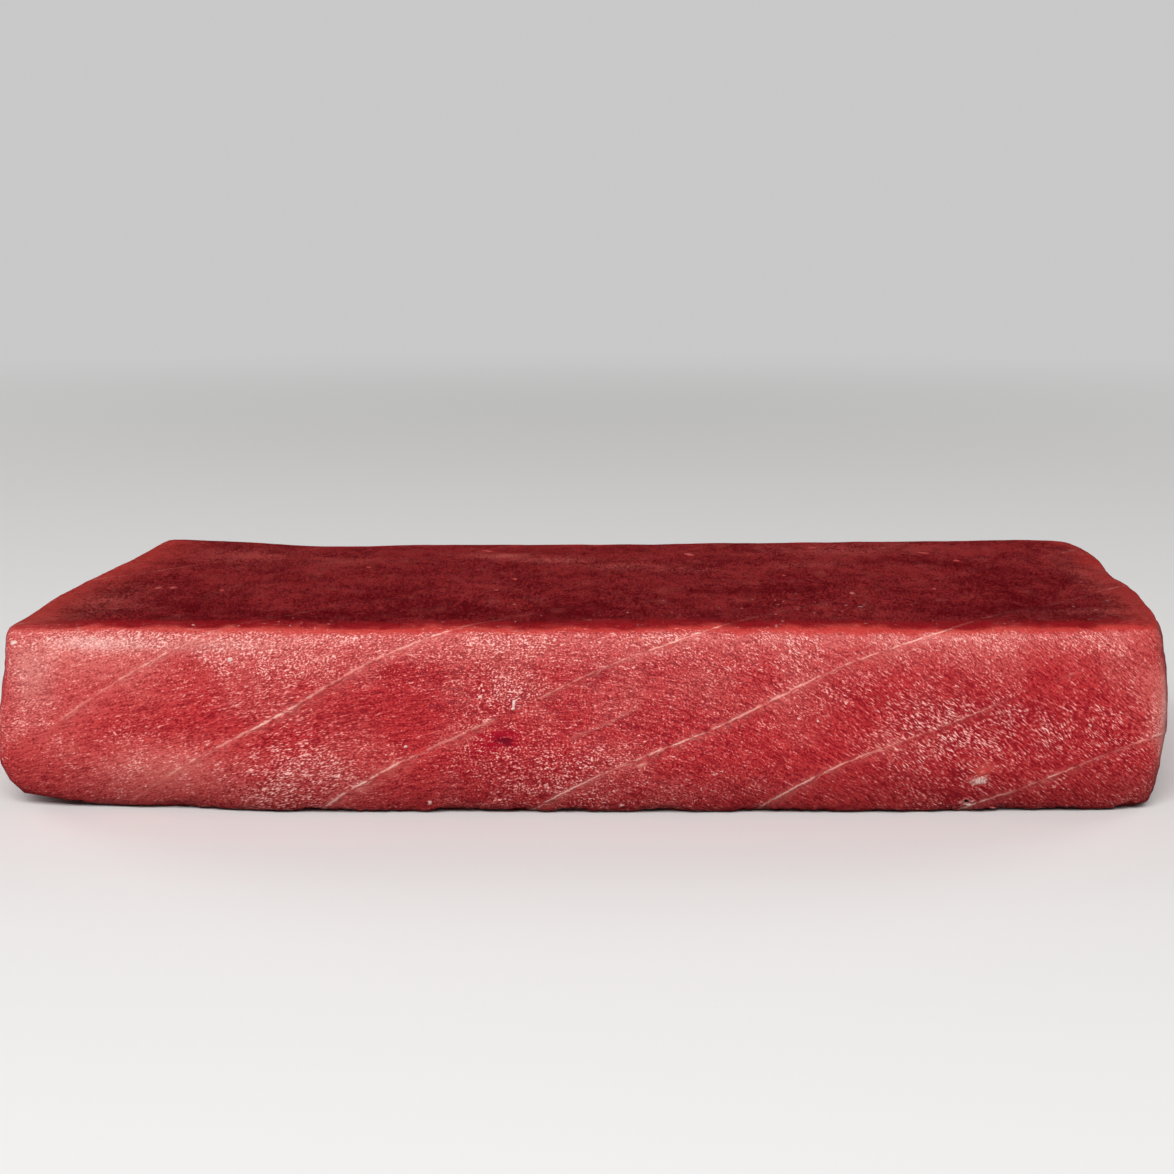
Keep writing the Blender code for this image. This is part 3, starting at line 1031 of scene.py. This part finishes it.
class OBJECT_OT_tuna_flesh(bpy.types.Operator):
    """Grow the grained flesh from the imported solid"""

    bl_idname = "object.tuna_flesh"
    bl_label = "Tuna Flesh"

    def execute(self, context):
        settings = context.scene.tuna_steak
        piece = even_block(settings)
        spare = shape_flesh(piece.data, settings)
        thin_out(piece, spare, settings.most_triangles)
        mark_flesh(piece.data)
        piece.data.materials.clear()
        piece.data.materials.append(flesh_material(settings))
        piece.data.shade_smooth()
        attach(piece, "root")
        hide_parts(NODE)
        return {"FINISHED"}


class OBJECT_OT_tuna_sinew_bits(bpy.types.Operator):
    """Lay the torn bits of sinew on the front face and the top"""

    bl_idname = "object.tuna_sinew_bits"
    bl_label = "Sinew Bits"

    def execute(self, context):
        draping = Draping(flesh_piece(), seed=21)
        for x, z, *form in FRONT_BITS:
            draping.patch(FORWARD, (x, 0, z), *form)
        for x, y, *form in TOP_BITS:
            draping.patch(UP, (x, y, 0), *form)
        draping.finish("sinew_bits", context.scene.tuna_steak)
        return {"FINISHED"}


class OBJECT_OT_tuna_vessel(bpy.types.Operator):
    """Make the cut end of a small vessel and the soft lobe above it"""

    bl_idname = "object.tuna_vessel"
    bl_label = "Vessel End"

    # The torn wall round the vessel, listed like the bits of sinew, by place beside the vessel's middle.
    WALL = (
        (-0.72, -0.20, 0.46, 0.30, 20, 0.08, 0.45),
        (0.86, -0.02, 0.52, 0.24, 22, 0.08, 0.45),
        (-0.12, -0.50, 0.46, 0.26, 10, 0.10, 0.5),
        (0.42, -0.62, 0.46, 0.30, -12, 0.20, 1.2),
    )
    # Each frayed end: place beside the middle of the tuft, half length in millimetres, tilt in degrees.
    FRAYED = ((-0.82, 0.26, 40), (-0.40, 0.42, 74), (0.06, 0.34, 100), (0.36, 0.44, 82), (0.74, 0.30, 58))

    def execute(self, context):
        draping = Draping(flesh_piece(), seed=4)
        x, z = VESSEL
        for aside, up, *form in self.WALL:
            draping.patch(FORWARD, (x + aside, 0, z + up), *form)
        draping.patch(FORWARD, (x, 0, z + 0.04), 0.66, 0.50, 8, 0.12, 0.5, profile=crater, hole=3.2)
        x, z = LOBE
        draping.patch(FORWARD, (x - 0.1, 0, z - 0.2), 0.90, 0.55, 38, 0.20, 0.1)
        x, z = TUFT
        for aside, length, tilt in self.FRAYED:
            draping.patch(FORWARD, (x + aside, 0, z), length, 0.10, tilt, 0.07, 0.8)
        draping.finish("vessel_end", context.scene.tuna_steak)
        return {"FINISHED"}


def area_light(name, power, size, place, aim):
    light = bpy.data.lights.new(name, "AREA")
    light.shape = "RECTANGLE"
    light.size, light.size_y = size
    light.energy = power
    holder = bpy.data.objects.new(name, light)
    holder.location = place
    holder.rotation_euler = (Vector(aim) - Vector(place)).to_track_quat("-Z", "Y").to_euler()
    bpy.context.scene.collection.objects.link(holder)
    return holder


class SCENE_OT_tuna_stage(bpy.types.Operator):
    """Set up the pale floor, the soft lights and the camera"""

    bl_idname = "scene.tuna_stage"
    bl_label = "Tuna Stage"

    def execute(self, context):
        settings = context.scene.tuna_stage
        self.floor(settings)
        self.lights(settings)
        self.world(context.scene, settings)
        self.camera(context.scene, settings)
        return {"FINISHED"}

    def floor(self, settings):
        mesh = bpy.data.meshes.new("floor")
        plane = bmesh.new()
        bmesh.ops.create_grid(plane, x_segments=1, y_segments=1, size=FLOOR_REACH)
        plane.to_mesh(mesh)
        plane.free()
        floor = bpy.data.objects.new("floor", mesh)
        graph = Graph(bpy.data.materials.new("pale_floor"))
        away = graph.node("VectorMath", {0: graph.node("TexCoord").outputs["Object"]}, operation="LENGTH")
        seen = graph.node("LightPath").outputs["Is Camera Ray"]
        far = graph.times(graph.span(away.outputs["Value"], FLOOR_FADES_FROM, FLOOR_FADES_TO), seen)
        material = graph.finish(
            Base_Color=graph.mix(far, settings.floor_colour, (0.0, 0.0, 0.0)),
            Roughness=0.8,
            Specular_IOR_Level=0.1,
            Emission_Color=(1.0, 1.0, 1.0, 1.0),
            Emission_Strength=graph.times(far, BACKDROP),
        )
        mesh.materials.append(material)
        bpy.context.scene.collection.objects.link(floor)
        floor.visible_glossy = False

    def lights(self, settings):
        aim = (0, 0, MID_HEIGHT)
        key = area_light("key", settings.key_power, KEY_SIZE, KEY_PLACE, aim)
        key.visible_glossy = False
        glint = area_light("glint", settings.glint_power, GLINT_SIZE, GLINT_PLACE, aim)
        glint.visible_diffuse = False
        aside, back, up = FILL_PLACE
        for side in (-1, 1):
            fill = area_light("fill", settings.fill_power, FILL_SIZE, (aside * side, back, up), aim)
            fill.visible_glossy = False

    def world(self, scene, settings):
        """Pale to look at, dim as a light, and dark in wet reflections, which would veil the flesh."""
        graph = Graph(bpy.data.worlds.new("studio"))
        path = graph.node("LightPath").outputs
        seen = graph.scaled(path["Is Camera Ray"], BACKDROP - settings.sky_strength, settings.sky_strength)
        strength = graph.scaled(path["Is Glossy Ray"], -settings.sky_strength, seen)
        sky = graph.node("Background", {"Color": (1, 1, 1, 1), "Strength": strength})
        graph.node("OutputWorld", {"Surface": sky.outputs[0]})
        scene.world = graph.owner
        scene.view_settings.view_transform = "Standard"

    def camera(self, scene, settings):
        lens = bpy.data.cameras.new("camera")
        lens.lens = settings.lens
        lens.sensor_width = SENSOR
        lens.clip_start = 0.01
        camera = bpy.data.objects.new("camera", lens)
        camera.location = CAMERA_PLACE
        camera.rotation_euler = (math.pi / 2 - settings.pitch, 0, 0)
        scene.collection.objects.link(camera)
        scene.camera = camera


class VIEW3D_PT_tuna_steak(bpy.types.Panel):
    """The steak's operators, in the sidebar"""

    bl_label = "Tuna Steak"
    bl_space_type = "VIEW_3D"
    bl_region_type = "UI"
    bl_category = "Tuna Steak"

    def draw(self, context):
        for settings in (context.scene.tuna_steak, context.scene.tuna_stage):
            for name in settings.bl_rna.properties.keys():
                if name not in ("rna_type", "name"):
                    self.layout.prop(settings, name)
        for operator in OPERATORS:
            self.layout.operator(operator.bl_idname)


OPERATORS = (OBJECT_OT_tuna_flesh, OBJECT_OT_tuna_sinew_bits, OBJECT_OT_tuna_vessel, SCENE_OT_tuna_stage)
CLASSES = (SteakSettings, StageSettings, *OPERATORS, VIEW3D_PT_tuna_steak)


def register():
    for cls in CLASSES:
        bpy.utils.register_class(cls)
    bpy.types.Scene.tuna_steak = PointerProperty(type=SteakSettings)
    bpy.types.Scene.tuna_stage = PointerProperty(type=StageSettings)


def unregister():
    del bpy.types.Scene.tuna_stage
    del bpy.types.Scene.tuna_steak
    for cls in reversed(CLASSES):
        bpy.utils.unregister_class(cls)


def main():
    register()
    bpy.ops.object.tuna_flesh()
    bpy.ops.object.tuna_sinew_bits()
    bpy.ops.object.tuna_vessel()
    bpy.ops.scene.tuna_stage()


if __name__ == "__main__":
    main()
